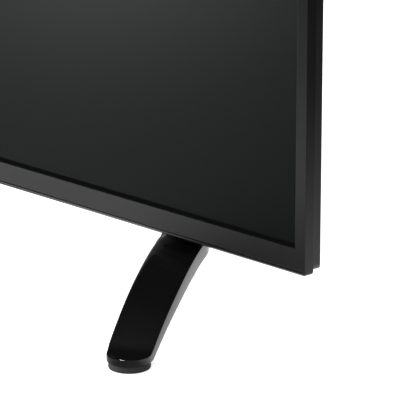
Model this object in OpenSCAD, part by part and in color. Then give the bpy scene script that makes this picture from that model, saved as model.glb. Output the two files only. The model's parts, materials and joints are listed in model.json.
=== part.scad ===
/* [Screen] */
// Width of the lit picture
screen_w = 941.2; // [900:0.1:980]
// Height of the lit picture
screen_h = 529.4; // [510:0.1:550]
// Black border of the panel seen inside the bezel
border = 3; // [2:0.1:4]
// How far the glass panel runs behind the bezel
panel_overlap = 2.4; // [1.8:0.1:3]
// Thickness of the glass panel
panel_t = 1.6; // [1.2:0.1:2.2]
// Thickness of the stack of optical sheets
sheets_t = 0.6; // [0.4:0.1:1]
// Thickness of the diffuser plate
diffuser_t = 2; // [1.5:0.1:3]

/* [Bezel] */
// Width of the bezel at the sides and the top
bezel_side = 9.6; // [9:0.1:14]
// Height of the bezel below the screen
bezel_bottom = 18; // [17:0.1:26]
// Depth of the bezel from front to back
bezel_depth = 8; // [7.5:0.1:10]
// Thickness of the bezel's front
bezel_lip = 3; // [2.6:0.1:3.4]
// Thickness of the bezel's outer wall
bezel_wall = 2.2; // [1.8:0.1:2.4]
// Radius of the bezel's outer corners
bezel_corner_r = 2.6; // [2.6:0.1:6]
// Height of the trim strip along the lower edge
trim_h = 2.4; // [2:0.1:4]
// Depth of the trim strip
trim_t = 2; // [1.4:0.1:2.2]
// Gap between the trim strip and the bezel
trim_gap = 0.6; // [0.3:0.1:1]
// Chamfer along the lower front edge of the trim strip and the bezel's corners
trim_chamfer = 1.2; // [0.4:0.1:1.3]
// Distance of the trim strip's ends from the bezel's rounded corners
trim_end = 0.4; // [0.2:0.1:12]

/* [Backlight] */
// Width of the middle frame outside the panel
mid_margin = 3; // [2.6:0.1:3.4]
// Thickness of the middle frame's walls
mid_wall = 2; // [1.5:0.1:2.2]
// Distance of the pan's walls from the panel's edges
pan_in = 15; // [14:0.5:18]
// Depth of the light box from the diffuser to the pan's floor
light_depth = 17.4; // [16:0.1:18]
// Thickness of the pan's sheet steel
pan_t = 0.8; // [0.6:0.1:1.2]
// Number of light bars
bar_rows = 4; // [3:1:5]
// Number of lenses on a bar
bar_lenses = 8; // [6:1:9]
// Height of a light bar
bar_h = 14; // [12:0.5:20]
// Thickness of a light bar
bar_t = 1.4; // [1:0.1:2]
// Distance of the bars' ends from the pan's walls
bar_end = 35; // [20:1:55]
// Radius of a lens
lens_r = 7; // [5:0.1:8]
// Thickness of the reflector sheet
reflector_t = 0.5; // [0.3:0.1:0.8]

/* [Back cover] */
// Wall of the back cover
cover_wall = 2.5; // [2:0.1:3]
// Inset of the cover from the bezel's sides and top
cover_inset = 0.5; // [0.3:0.1:1]
// Inset of the cover from the bezel's bottom
cover_rise = 2; // [1.5:0.1:2.1]
// Depth of the cover's straight edge
cover_edge = 7.1; // [5:0.1:8]
// Depth of the thin part behind the screen's front
cover_depth = 36; // [35:0.1:40]
// Width of the sloping edge of the thin part
cover_slope = 26; // [20:0.5:28]
// Radius of the cover's corners
cover_corner_r = 5; // [3:0.1:8]
// Distance of the raised part from the cabinet's sides
hump_side = 83.2; // [76:0.1:92]
// Height of the raised part
hump_h = 405; // [395:1:440]
// Depth of the raised part behind the screen's front
hump_depth = 68; // [66:0.1:76]
// Width of the raised part's sloping sides
hump_slope = 26; // [20:0.5:30]
// Depth of the flat underside where the feet are fixed
under_depth = 50; // [46:0.5:56]
// Width of an air slot
vent_w = 4; // [3:0.1:5]
// Height of an air slot
vent_h = 44; // [30:1:50]
// Pitch of the air slots
vent_pitch = 13; // [11:0.5:14]
// Number of air slots in a bank
vent_count = 16; // [10:1:16]

/* [Electronics] */
// Height of the posts under the boards
post_h = 12; // [11:0.1:16]
// Thickness of the circuit boards
board_t = 1.6; // [1.2:0.1:2]
// Distance of the boards' inner ends from the middle
board_x = 115; // [112:0.5:120]
// Length of the main board and the power board
board_w = 200; // [190:1:205]
// Height of the main board and the power board
board_h = 172; // [170:1:180]
// Height of the boards' lower edge above the cabinet's bottom
board_rise = 85; // [80:0.5:95]
// Gap between a board's end and the cover's bay
bay_gap = 0.5; // [0.3:0.1:1]
// Clearance round a socket in the cover
socket_gap = 0.4; // [0.2:0.1:0.6]
// Width of a loudspeaker box
speaker_w = 140; // [110:1:145]
// Height of a loudspeaker box
speaker_h = 38; // [32:0.5:44]
// Depth of a loudspeaker box
speaker_d = 30; // [26:0.5:32]

/* [Keys] */
// Width of a key
key_w = 10; // [8:0.1:12]
// Height of a key
key_h = 6; // [5:0.1:8]
// How far a key stands out of the cover
key_out = 1.2; // [0.9:0.1:2]
// Travel of a key
key_travel = 0.6; // [0.4:0.1:0.7]
// Clearance round a key
key_gap = 0.3; // [0.2:0.05:0.5]
// Distance between keys
key_pitch = 16; // [14:0.5:18]
// Distance of the keys from the cabinet's side
key_x = 53; // [48:0.5:60]
// Height of the lowest key above the cabinet's bottom
key_rise = 135; // [130:1:160]

/* [Wall mount] */
// Distance between the wall mount's threads
mount_pitch = 200; // [200:1:200]
// Height of the wall mount's middle above the cabinet's bottom
mount_rise = 235; // [225:1:245]
// Radius of a wall mount thread
mount_r = 3; // [2:0.1:4]
// Radius of a wall mount post
mount_post_r = 7; // [6:0.1:8]

/* [Stand] */
// Height of the cabinet's bottom above the table
foot_h = 65; // [60:0.5:75]
// Distance of a foot's middle from the cabinet's side
foot_in = 145.6; // [130:0.1:160]
// Distance of a foot's middle behind the screen's front
foot_y = 22; // [20:0.1:24]
// Radius of the front leg's bend seen from above
front_bend_r = 1380; // [1200:1:1600]
// Direction of the front leg at the foot's middle seen from above
root_turn = 33; // [30:0.1:36]
// Direction of the front leg at its tip seen from above
tip_turn = 27.85; // [26:0.05:29]
// Radius of the rear leg's bend seen from above
rear_bend_r = 262; // [245:1:280]
// Direction of the rear leg at the foot's middle seen from above
rear_root_turn = 40; // [38:0.1:42]
// Width of the foot at its middle
foot_w = 35.6; // [33:0.1:38]
// Width of the front leg at its tip
front_tip_w = 32.4; // [29:0.1:33]
// Width of the rear leg at its tip
rear_tip_w = 30; // [28.5:0.1:33]
// Distance of the legs' upper faces from the cabinet's bottom at the foot's middle
foot_drop = 7.8; // [6:0.1:10]
// Thickness of the legs at the foot's middle
foot_t = 11.2; // [10:0.1:13]
// Slope of the legs' upper faces at the foot's middle
leg_slope = 4.5; // [3:0.1:7]
// Slope of the legs' undersides at the foot's middle
under_slope = 7.9; // [6:0.1:10]
// Height of a toe's flat top
toe_h = 10.3; // [9:0.1:12]
// Height of a leg's underside at its toe
toe_under = 6; // [5.6:0.1:7]
// Radius of a rubber pad
pad_r = 13.8; // [10:0.1:14]
// Thickness of a rubber pad
pad_t = 5; // [3:0.1:5.2]
// Radius of a foot screw's thread
foot_screw_r = 2; // [1.5:0.1:2.5]

/* [Hidden] */
$fn = 48;
key_names = ["key_power", "key_source", "key_menu", "key_channel_up", "key_channel_down",
             "key_volume_up", "key_volume_down"];

// Front of the cabinet
open_w = screen_w + 2 * border;
open_h = screen_h + 2 * border;
cab_w = open_w + 2 * bezel_side;
cab_h = open_h + bezel_side + bezel_bottom;
z_bot = foot_h;
z_top = z_bot + cab_h;
z_open = z_bot + bezel_bottom;
panel_w = open_w + 2 * panel_overlap;
panel_h = open_h + 2 * panel_overlap;
z_panel = z_open - panel_overlap;
cut = 1;

// Layers behind the glass, from the front to the back
ledge_t = 1.4;
y_panel = bezel_lip;
y_ledge = y_panel + panel_t;
y_sheets = y_ledge + ledge_t;
y_diffuser = y_sheets + sheets_t;
y_pan = y_diffuser + diffuser_t;
y_floor = y_pan + light_depth;
y_pan_back = y_floor + pan_t;
y_bars = y_floor - bar_t;
y_reflector = y_bars - reflector_t;
y_board = y_pan_back + post_h;
y_board_back = y_board + board_t;
layer_gap = 0.4;
mid_skirt = 3.4;
mid_back = y_pan + mid_skirt;
ledge_in = 4;

// Flexes and driver boards in the bezel's lower part
flex_t = 0.2;
flex_w = 30;
flex_lap = 2.2;
flex_drop = 4;
flex_pitch = 100;
flex_first = 70;
flex_count = 4;
flex_gap = 0.5;
source_t = 1.2;
source_h = 8;
source_gap = 1.2;
source_in = 35;
source_out = 45;
source_pad_in = 8;
source_pad_w = 6;
source_x0 = flex_first - source_in;
source_x1 = flex_first + flex_pitch * (flex_count - 1) + source_out;
source_z = z_bot + bezel_wall + source_gap;

// Light bars and lenses
pan_half = panel_w / 2 - pan_in;
pan_low = z_panel + pan_in;
pan_high = z_panel + panel_h - pan_in;
bar_l = 2 * (pan_half - bar_end);
bar_pitch = (pan_high - pan_low) / bar_rows;
lens_pitch = bar_l / bar_lenses;
lens_base = 1.6;
lens_dome_r = 9;
lens_gap = 0.6;
lens_spots = [for (i = [0 : bar_rows - 1], j = [0 : bar_lenses - 1])
    [(j - (bar_lenses - 1) / 2) * lens_pitch, pan_low + (i + 0.5) * bar_pitch]];

// Back cover
trim_half = cab_w / 2 - bezel_corner_r - trim_end;
cover_half = cab_w / 2 - cover_inset;
cover_low = z_bot + cover_rise;
cover_high = z_top - cover_inset;
y_edge = bezel_depth + cover_edge;
cover_inner = cover_depth - cover_wall;
hump_inner = hump_depth - cover_wall;
hump_high = cover_low + hump_h;
hump_half = cab_w / 2 - hump_side;

// Boards, bays and sockets
board_z = z_bot + board_rise;
board_end = board_x + board_w;
bay_x = board_end + bay_gap + cover_wall;
bay_under = 1;
bay_margin = 4;
bay_floor = y_board - bay_under;
bay_low = board_z - bay_margin;
bay_high = board_z + board_h + bay_margin;
mains_bay_h = 64;
mains_bay_high = bay_low + mains_bay_h;
socket_in = 0.5;
socket_face = bay_x - socket_in;
hdmi_w = 15.2;
hdmi_h = 6;
hdmi_l = 13;
usb_w = 14;
usb_h = 7;
usb_l = 15;
jack_w = 9;
jack_l = 14;
jack_r = 1.8;
jack_depth = 12;
optical_w = 10;
optical_l = 12;
optical_hole = 5;
optical_depth = 9;
socket_wall = 0.6;
hdmi_spots = [84, 105, 126];
usb_spots = [144, 160];
jack_spots = [52, 67];
optical_spot = 36;
tuner_spot = 16;
tuner_l = 34;
tuner_w = 22;
tuner_h = 14;
barrel_r = 4.7;
barrel_out = 8;
barrel_hole_r = 1.5;
inlet_spot = 30;
inlet_w = 26;
inlet_h = 16;
inlet_l = 20;
inlet_slot_w = 8.6;
inlet_slot_r = 4.4;
inlet_depth = 14;
inlet_waist = 1;
pin_r = 1.2;
pin_in = 4;
screw_r = 1.5;
screw_head_r = 3;
screw_head_h = 2;
screw_gap = 0.2;
board_hole_in = 6;
board_hole_out = 40;
post_r = 3.2;
board_spots = [for (side = [-1, 1], x = [board_x + board_hole_in, board_end - board_hole_out],
    z = [board_hole_in, board_h - board_hole_in]) [side * x, board_z + z]];

// Cover screws, taken from the cabinet's edges
cover_screw_x = 35;
cover_screw_top = 45;
cover_screw_low = 75;
cover_screw_high = 355;
cover_screw_mid = 160;
cover_boss_r = 4.5;
cover_spots = [for (side = [-1, 1]) each [
    [side * (cab_w / 2 - cover_screw_x), z_bot + cover_screw_low],
    [side * (cab_w / 2 - cover_screw_x), z_bot + cover_screw_high],
    [side * (cab_w / 2 - cover_screw_x), z_top - cover_screw_top],
    [side * cover_screw_mid, z_top - cover_screw_top]]];

// Keys and their board
key_flange = 1.6;
key_flange_t = 1;
switch_gap = 0.1;
keypad_t = 1.6;
switch_w = 6;
switch_t = 1.4;
y_key = cover_inner - key_gap - key_flange_t;
y_keypad = y_key - key_travel - switch_gap - switch_t - keypad_t;
key_col = cab_w / 2 - key_x;
keypad_w = 18;
keypad_end = 14;
keypad_post = 9;
key_count = len(key_names);

// Loudspeakers
speaker_x = 160;
speaker_rise = 19;
speaker_post = 3.2;
speaker_post_in = 20;
speaker_post_z = 25;
speaker_z = z_bot + speaker_rise;
y_speaker = y_pan_back + speaker_post;
cone_r = 12;
cone_depth = 6;
cone_rim = 2;
grille_count = 12;
grille_pitch = 9;
grille_l = 16;
grille_w = 3;

// Remote control receiver
ir_w = 44;
ir_h = 8;
ir_t = 1.2;
ir_lens_w = 30;
ir_lens_t = 3;
ir_lens_out = 3;
ir_block = 3;
ir_gap = 0.3;

// Wall mount posts
mount_z = z_bot + mount_rise;
mount_depth = 25;
mount_gap = 0.3;
mount_spots = [for (x = [-1, 1], z = [-1, 1]) [x * mount_pitch / 2, mount_z + z * mount_pitch / 2]];

// Stand
foot_top = foot_h - foot_drop;
foot_under = foot_top - foot_t;
foot_root = [cab_w / 2 - foot_in, foot_y];
front_centre = foot_root - front_bend_r * heading(root_turn);
front_tip = front_centre + front_bend_r * heading(tip_turn);
foot_reach = front_tip_w / 2 - front_tip.y;
rear_centre = foot_root - rear_bend_r * heading(rear_root_turn);
rear_turn = asin((foot_reach - rear_tip_w / 2 - rear_centre.y) / rear_bend_r);
rear_tip = rear_centre + rear_bend_r * heading(rear_turn);
leg_gap = 3;
leg_rise = 0.3;
tip_gap = 0.15;
toe_step = 1;
hub_out = 0.4;
hub_gap = 0.3;
neck_w = 28;
neck_d = 18;
foot_screw_x = 8;
foot_screw_head_r = 3.8;
foot_screw_head_h = 3;
foot_screw_seat = 3.4;
foot_screw_gap = 0.2;
bracket_w = 60;
bracket_d = 34;
bracket_t = 3;
bracket_up = 30;
bracket_y = 12;

// Unit vector across the foot where it points along turn
function heading(turn) = [cos(turn), sin(turn)];
// Radius of an arc that sets out down a slope and drops by drop over run
function arc_r(run, drop, slope) = (run * run + drop * drop) / (2 * (drop * cos(slope) - run * sin(slope)));

// A flat shape in x and z, given depth from y0 to y1
module deep(y0, y1) {
    translate([0, y1, 0]) rotate([90, 0, 0]) linear_extrude(y1 - y0) children();
}

// A rectangle with round corners, in x and z, standing on z
module round_rect(w, h, r, z) {
    translate([0, z + h / 2]) {
        square([w - 2 * r, h], center = true);
        square([w, h - 2 * r], center = true);
        for (sx = [-1, 1], sz = [-1, 1]) translate([sx * (w / 2 - r), sz * (h / 2 - r)]) circle(r);
    }
}

// A block the shape of the panel, larger all round by m
module panel_block(m, y0, y1) {
    translate([-panel_w / 2 - m, y0, z_panel - m]) cube([panel_w + 2 * m, y1 - y0, panel_h + 2 * m]);
}

// A rod along y
module rod(spot, r, y0, y1) {
    translate([spot.x, y1, spot.y]) rotate([90, 0, 0]) cylinder(r = r, h = y1 - y0);
}

// A rod along x
module rod_x(y, z, r, x0, x1) {
    translate([x0, y, z]) rotate([0, 90, 0]) cylinder(r = r, h = x1 - x0);
}

module front_bezel() {
    color("#2a2a2a") difference() {
        deep(0, bezel_depth) round_rect(cab_w, cab_h, bezel_corner_r, z_bot);
        difference() {
            deep(bezel_lip, bezel_depth + cut)
                round_rect(cab_w - 2 * bezel_wall, cab_h - 2 * bezel_wall,
                           bezel_corner_r - bezel_wall, z_bot + bezel_wall);
            source_posts();
        }
        translate([-open_w / 2, -cut, z_open]) cube([open_w, bezel_depth, open_h]);
        translate([-trim_half, -cut, z_bot - cut])
            cube([2 * trim_half, trim_t + cut, trim_h + trim_gap + cut]);
        translate([-cab_w / 2 - cut, 0, z_bot]) rotate([90, 0, 90]) linear_extrude(cab_w + 2 * cut)
            polygon([[-cut, -cut], [trim_chamfer + cut, -cut], [-cut, trim_chamfer + cut]]);
        translate([-ir_lens_w / 2 - ir_gap, bezel_lip + ir_t, z_bot - cut])
            cube([ir_lens_w + 2 * ir_gap, ir_lens_t + 2 * ir_gap, bezel_wall + 2 * cut]);
    }
}

// Pads behind the bezel's front that the driver boards lie on
module source_posts() {
    for (side = [-1, 1], x = [source_x0 + source_pad_in, source_x1 - source_pad_in])
        translate([side * x - source_pad_w / 2, bezel_lip - cut, z_bot + bezel_wall - cut])
            cube([source_pad_w, y_ledge + flex_t - bezel_lip + cut, source_gap + source_h / 2 + cut]);
}

module bottom_trim() {
    color("#3a3a3a") translate([-trim_half, 0, z_bot]) rotate([90, 0, 90])
        linear_extrude(2 * trim_half)
            polygon([[0, trim_h], [0, trim_chamfer], [trim_chamfer, 0], [trim_t, 0], [trim_t, trim_h]]);
}

module lcd_panel() {
    color("#15181a") panel_block(0, y_panel, y_panel + panel_t);
}

// Places its children at each flex along the panel's lower edge
module at_flexes() {
    for (side = [-1, 1], i = [0 : flex_count - 1])
        translate([side * (flex_first + i * flex_pitch), 0, 0]) children();
}

module panel_flexes() {
    color("#c08a2c") at_flexes()
        translate([-flex_w / 2, y_ledge, source_z + source_h - flex_drop])
            cube([flex_w, flex_t, z_panel + flex_lap - source_z - source_h + flex_drop]);
}

module source_boards() {
    color("#1f6b3a") for (side = [0, 1]) mirror([side, 0, 0])
        translate([source_x0, y_ledge + flex_t, source_z])
            cube([source_x1 - source_x0, source_t, source_h]);
}

module mid_frame() {
    color("#303236") difference() {
        panel_block(mid_margin, y_ledge, mid_back);
        panel_block(mid_margin - mid_wall, y_sheets, mid_back + cut);
        panel_block(-ledge_in, y_ledge - cut, y_sheets + cut);
        at_flexes() translate([-flex_w / 2 - flex_gap, y_ledge - cut, z_panel - mid_margin - cut])
            cube([flex_w + 2 * flex_gap, flex_t + flex_gap / 2 + cut,
                  mid_margin + flex_lap + flex_gap + cut]);
    }
}

module optical_sheets() {
    color("#e8eaec") panel_block(mid_margin - mid_wall - layer_gap, y_sheets, y_diffuser);
}

module diffuser_plate() {
    color("#f4f4f0") panel_block(mid_margin - mid_wall - layer_gap, y_diffuser, y_pan);
}

module reflector_sheet() {
    color("white") difference() {
        panel_block(-pan_in - layer_gap, y_reflector, y_bars);
        for (spot = lens_spots) rod(spot, lens_r + lens_gap, y_reflector - cut, y_bars + cut);
    }
}

module led_lenses() {
    dome_low = lens_dome_r - sqrt(lens_dome_r * lens_dome_r - lens_r * lens_r);
    color("#f2f2e8") for (spot = lens_spots) translate([spot.x, y_bars, spot.y]) rotate([90, 0, 0])
        rotate_extrude() intersection() {
            translate([0, lens_base + dome_low - lens_dome_r]) circle(lens_dome_r);
            square([lens_r, lens_base + lens_dome_r]);
        }
}

module led_bars() {
    color("#d9dcdf") for (i = [0 : bar_rows - 1])
        translate([-bar_l / 2, y_bars, pan_low + (i + 0.5) * bar_pitch - bar_h / 2])
            cube([bar_l, bar_t, bar_h]);
}

module backlight_pan() {
    color("#b9bdc1") difference() {
        union() {
            panel_block(mid_margin - mid_wall - layer_gap, y_pan, y_pan + pan_t);
            panel_block(pan_t - pan_in, y_pan, y_pan_back);
            for (spot = board_spots) rod(spot, post_r, y_pan_back - pan_t / 2, y_board);
            for (side = [-1, 1], x = [speaker_post_in, speaker_w - speaker_post_in])
                rod([side * (speaker_x + x), speaker_z + speaker_post_z], post_r,
                    y_pan_back - pan_t / 2, y_speaker);
        }
        panel_block(-pan_in, y_pan - cut, y_floor);
        for (spot = board_spots) rod(spot, screw_r + screw_gap, y_floor - cut, y_board + cut);
        for (spot = cover_spots) rod(spot, screw_r + screw_gap, y_floor - cut, y_pan_back + cut);
    }
}

// A board at one side of the middle, with its four screw holes
module side_board(side) {
    difference() {
        translate([side > 0 ? board_x : -board_end, y_board, board_z]) cube([board_w, board_t, board_h]);
        for (spot = board_spots) rod(spot, screw_r + screw_gap, y_board - cut, y_board_back + cut);
    }
}

module main_board() {
    color("#1d6a40") side_board(1);
}

module power_board() {
    color("#8a6a3a") side_board(-1);
}

// A block that stands on the back of a board, its corner at x and z from the board's inner lower corner
module on_board(side, x, z, w, h, t) {
    translate([side > 0 ? board_x + x : -board_x - x - w, y_board_back, board_z + z]) cube([w, t, h]);
}

module main_chips() {
    chip_t = 1.4;
    memory_x = 30;
    memory_z = 24;
    memory_w = 18;
    memory_h = 12;
    memory_pitch = 28;
    port_chip_x = 138;
    port_chip_z = 84;
    port_chip_w = 14;
    port_chip_pitch = 36;
    panel_chip_x = 100;
    panel_chip_z = 30;
    panel_chip_w = 22;
    color("#202224") {
        for (i = [0, 1]) on_board(1, memory_x, memory_z + i * memory_pitch, memory_w, memory_h, chip_t);
        for (i = [0, 1])
            on_board(1, port_chip_x, port_chip_z + i * port_chip_pitch, port_chip_w, port_chip_w, chip_t);
        on_board(1, panel_chip_x, panel_chip_z, panel_chip_w, panel_chip_w, chip_t);
    }
}

module heat_sink() {
    fins = 8;
    fin_pitch = 6;
    fin_t = 2;
    base_t = 4;
    fin_h = 10;
    sink_x = 66;
    sink_z = 84;
    size = fins * fin_pitch - fin_pitch + fin_t;
    color("#a9adb0") difference() {
        on_board(1, sink_x, sink_z, size, size, base_t + fin_h);
        for (i = [0 : fins - 2])
            translate([board_x + sink_x + fin_t + i * fin_pitch, y_board_back + base_t,
                       board_z + sink_z - cut])
                cube([fin_pitch - fin_t, fin_h + cut, size + 2 * cut]);
    }
}

// A hollow metal shell for a plug, open towards the bay on its side of the cabinet
module plug_shell(z, w, h, l, wall) {
    translate([socket_face - l, y_board_back, board_z + z - w / 2]) difference() {
        cube([l, h, w]);
        translate([wall * 3, wall, wall]) cube([l, h - 2 * wall, w - 2 * wall]);
    }
}

module hdmi_sockets() {
    tongue_t = 0.9;
    tongue_w = 10;
    tongue_in = 3;
    color("#c9ccce") for (z = hdmi_spots) {
        plug_shell(z, hdmi_w, hdmi_h, hdmi_l, socket_wall);
        translate([socket_face - hdmi_l + socket_wall, y_board_back + hdmi_h / 2 - tongue_t / 2,
                   board_z + z - tongue_w / 2])
            cube([hdmi_l - tongue_in, tongue_t, tongue_w]);
    }
}

module usb_sockets() {
    tongue_t = 1.8;
    tongue_w = 11;
    tongue_in = 3;
    tongue_gap = 0.4;
    color("#cfd2d4") for (z = usb_spots) {
        plug_shell(z, usb_w, usb_h, usb_l, socket_wall);
        translate([socket_face - usb_l + socket_wall,
                   y_board_back + usb_h - socket_wall - tongue_t - tongue_gap, board_z + z - tongue_w / 2])
            cube([usb_l - tongue_in, tongue_t, tongue_w]);
    }
}

module audio_jacks() {
    color("#26282a") for (z = jack_spots) difference() {
        translate([socket_face - jack_l, y_board_back, board_z + z - jack_w / 2])
            cube([jack_l, jack_w, jack_w]);
        rod_x(y_board_back + jack_w / 2, board_z + z, jack_r, socket_face - jack_depth, socket_face + cut);
    }
}

module optical_socket() {
    rim = (optical_w - optical_hole) / 2;
    low = board_z + optical_spot - optical_w / 2;
    color("#1c1d1f") translate([socket_face - optical_l, y_board_back, low]) difference() {
        cube([optical_l, optical_w, optical_w]);
        translate([optical_l - optical_depth, rim, rim])
            cube([optical_depth + cut, optical_hole, optical_hole]);
    }
}

module tuner() {
    z = board_z + tuner_spot;
    y = y_board_back + tuner_h / 2;
    color("#c4c8cb") difference() {
        union() {
            translate([board_end - tuner_l, y_board_back, z - tuner_w / 2])
                cube([tuner_l - bay_gap, tuner_h, tuner_w]);
            rod_x(y, z, barrel_r, board_end - bay_gap - cut, bay_x + barrel_out);
        }
        rod_x(y, z, barrel_hole_r, bay_x, bay_x + barrel_out + cut);
    }
}

module power_capacitors() {
    main_x = 60;
    main_z = 40;
    main_r = 8;
    main_l = 20;
    main_pitch = 22;
    output_x = 96;
    output_z = 30;
    output_r = 6;
    output_l = 16;
    output_pitch = 20;
    standby_x = 40;
    standby_z = 130;
    standby_r = 5;
    standby_l = 14;
    color("#2b3350") {
        for (i = [0, 1]) can(main_x, main_z + i * main_pitch, main_r, main_l);
        for (i = [0, 1]) can(output_x, output_z + i * output_pitch, output_r, output_l);
        can(standby_x, standby_z, standby_r, standby_l);
    }
}

// A can that stands on the power board, at x and z from the board's inner lower corner
module can(x, z, r, l) {
    rod([-board_x - x, board_z + z], r, y_board_back, y_board_back + l);
}

module power_transformer() {
    bobbin_r = 13;
    bobbin_h = 22;
    core_w = 34;
    core_h = 12;
    core_low = 3;
    core_x = 110;
    core_z = 110;
    color("#3c3a36") {
        can(core_x, core_z, bobbin_r, bobbin_h);
        on_board(-1, core_x - core_w / 2, core_z - core_h / 2, core_w, core_h, bobbin_h - core_low);
    }
}

module mains_inlet() {
    z = board_z + inlet_spot;
    y = y_board_back + inlet_h / 2;
    color("#19191a") difference() {
        translate([-socket_face, y_board_back, z - inlet_w / 2]) cube([inlet_l, inlet_h, inlet_w]);
        for (s = [-1, 1])
            rod_x(y, z + s * inlet_slot_w / 2, inlet_slot_r, -socket_face - cut, inlet_depth - socket_face);
        translate([-socket_face - cut, y - inlet_slot_r + inlet_waist, z - inlet_slot_w / 2])
            cube([inlet_depth + cut, 2 * (inlet_slot_r - inlet_waist), inlet_slot_w]);
    }
    color("#d8d3c4") for (s = [-1, 1])
        rod_x(y, z + s * inlet_slot_w / 2, pin_r, pin_in - socket_face, inlet_depth + cut - socket_face);
}

module power_wires() {
    plug_w = 10;
    plug_t = 7;
    wires = 8;
    wire_r = 0.75;
    pitch = 2.5;
    plug_edge = 2;
    plug_drop = 36;
    z = board_z + board_h - plug_drop;
    color("#b8322a") {
        for (i = [0 : wires - 1])
            rod_x(y_board_back + plug_t / 2, z + i * pitch, wire_r, -board_x - plug_w / 2,
                  board_x + plug_w / 2);
        for (side = [-1, 1]) translate([side > 0 ? board_x : -board_x - plug_w, y_board_back, z - plug_edge])
            cube([plug_w, plug_t, wires * pitch + plug_edge]);
    }
}

module ribbon_cable() {
    t = 0.4;
    w = 26;
    ribbon_in = 14;
    ribbon_lap = 3;
    connector_rise = 4;
    x = board_x + ribbon_in;
    connector_z = board_z + connector_rise;
    y_front = y_ledge + flex_t + source_t;
    z_low = source_z + source_h / 2;
    y_run = y_board_back + ribbon_lap;
    connector_t = 5;
    connector_h = 6;
    color("#e4e2da") {
        translate([x, y_front, z_low - ribbon_lap]) cube([w, t, ribbon_lap]);
        translate([x, y_front, z_low]) cube([w, y_run + t - y_front, t]);
        translate([x, y_run, z_low]) cube([w, t, connector_z - z_low]);
        translate([x, y_board_back, connector_z]) cube([w, connector_t, connector_h]);
    }
}

module board_screws() {
    color("#8d9296") for (spot = board_spots) {
        rod(spot, screw_head_r, y_board_back, y_board_back + screw_head_h);
        rod(spot, screw_r, y_pan_back, y_board_back + screw_head_h / 2);
    }
}

// A loudspeaker box with the seat for its cone in the floor
module speaker(side) {
    middle = side * (speaker_x + speaker_w / 2);
    difference() {
        translate([middle - speaker_w / 2, y_speaker, speaker_z]) cube([speaker_w, speaker_d, speaker_h]);
        translate([middle, y_speaker + speaker_d / 2, speaker_z - cut])
            cylinder(r = cone_r, h = cone_depth + cut);
    }
}

module speaker_left() {
    color("#222325") speaker(-1);
}

module speaker_right() {
    color("#222325") speaker(1);
}

module speaker_cones() {
    seat_gap = 0.3;
    cone_t = 1.6;
    outer_r = cone_r - seat_gap;
    inner_r = outer_r - cone_rim;
    color("#3a3a38") for (side = [-1, 1])
        translate([side * (speaker_x + speaker_w / 2), y_speaker + speaker_d / 2, speaker_z])
            rotate_extrude() polygon([[0, cone_depth], [0, cone_depth - cone_t], [inner_r, cone_t / 2],
                [inner_r, 0], [outer_r, 0], [outer_r, cone_depth]]);
}

module ir_board() {
    color("#1f6b3a") translate([-ir_w / 2, bezel_lip, z_bot + bezel_wall]) cube([ir_w, ir_t, ir_h]);
    color("#101012") translate([-ir_block, bezel_lip + ir_t, z_bot + bezel_wall + ir_block])
        cube([2 * ir_block, ir_lens_t, ir_h - ir_block]);
}

module ir_lens() {
    color("#3a1416") translate([-ir_lens_w / 2, bezel_lip + ir_t + ir_gap, z_bot - ir_lens_out])
        cube([ir_lens_w, ir_lens_t, ir_lens_out + bezel_wall + ir_block]);
}

// Places its children at the key with this number, counted upwards
module at_key(i) {
    translate([key_col, 0, z_bot + key_rise + i * key_pitch]) children();
}

module keypad_posts(r, y0, y1) {
    for (z = [-keypad_post, (key_count - 1) * key_pitch + keypad_post])
        rod([key_col, z_bot + key_rise + z], r, y0, y1);
}

module keypad_board() {
    color("#1f6b3a") difference() {
        translate([key_col - keypad_w / 2, y_keypad, z_bot + key_rise - keypad_end])
            cube([keypad_w, keypad_t, (key_count - 1) * key_pitch + 2 * keypad_end]);
        keypad_posts(screw_r + screw_gap, y_keypad - cut, y_keypad + keypad_t + cut);
    }
}

module tact_switches() {
    color("#17181a") for (i = [0 : key_count - 1]) at_key(i)
        translate([-switch_w / 2, y_keypad + keypad_t, -switch_w / 2]) cube([switch_w, switch_t, switch_w]);
}

module key(i) {
    color("#3d3e40") at_key(i) {
        translate([-key_w / 2, y_key, -key_h / 2]) cube([key_w, cover_depth + key_out - y_key, key_h]);
        translate([-key_w / 2 - key_flange, y_key, -key_h / 2 - key_flange])
            cube([key_w + 2 * key_flange, key_flange_t, key_h + 2 * key_flange]);
    }
}

module wall_mount_posts() {
    color("#b4b8bc") for (spot = mount_spots) difference() {
        rod(spot, mount_post_r, y_pan_back, hump_depth);
        rod(spot, mount_r, hump_depth - mount_depth, hump_depth + cut);
    }
}

// The cover's outer form, drawn in by d
module cover_form(d) {
    half = cover_half - d;
    low = cover_low + d;
    high = cover_high - d;
    back = cover_depth - d;
    turn = y_edge - d / 2;
    flat_half = cover_half - cover_slope - d / 2;
    flat_high = cover_high - cover_slope - d / 2;
    front = d > 0 ? bezel_depth - cut : bezel_depth;
    hump_out = hump_half - d;
    hump_back = hump_depth - d;
    hump_in = hump_half - hump_slope - d;
    under = under_depth - d / 2;
    intersection() {
        deep(front, hump_depth + cut) round_rect(2 * half, high - low, cover_corner_r, low);
        union() {
            intersection() {
                translate([0, 0, low]) linear_extrude(high - low)
                    polygon([[-half, front], [half, front], [half, turn], [flat_half, back],
                             [-flat_half, back], [-half, turn]]);
                translate([-half, 0, 0]) rotate([90, 0, 90]) linear_extrude(2 * half)
                    polygon([[front, low], [back, low], [back, flat_high], [turn, high], [front, high]]);
            }
            intersection() {
                translate([0, 0, low]) linear_extrude(hump_h)
                    polygon([[-hump_out, turn], [hump_out, turn], [hump_out, back], [hump_in, hump_back],
                             [-hump_in, hump_back], [-hump_out, back]]);
                translate([-half, 0, 0]) rotate([90, 0, 90]) linear_extrude(2 * half)
                    polygon([[turn, low], [under, low], [hump_back, low + hump_back - under],
                             [hump_back, hump_high - hump_slope - 2 * d], [back, hump_high - 2 * d],
                             [turn, hump_high - 2 * d]]);
            }
        }
    }
}

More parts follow.
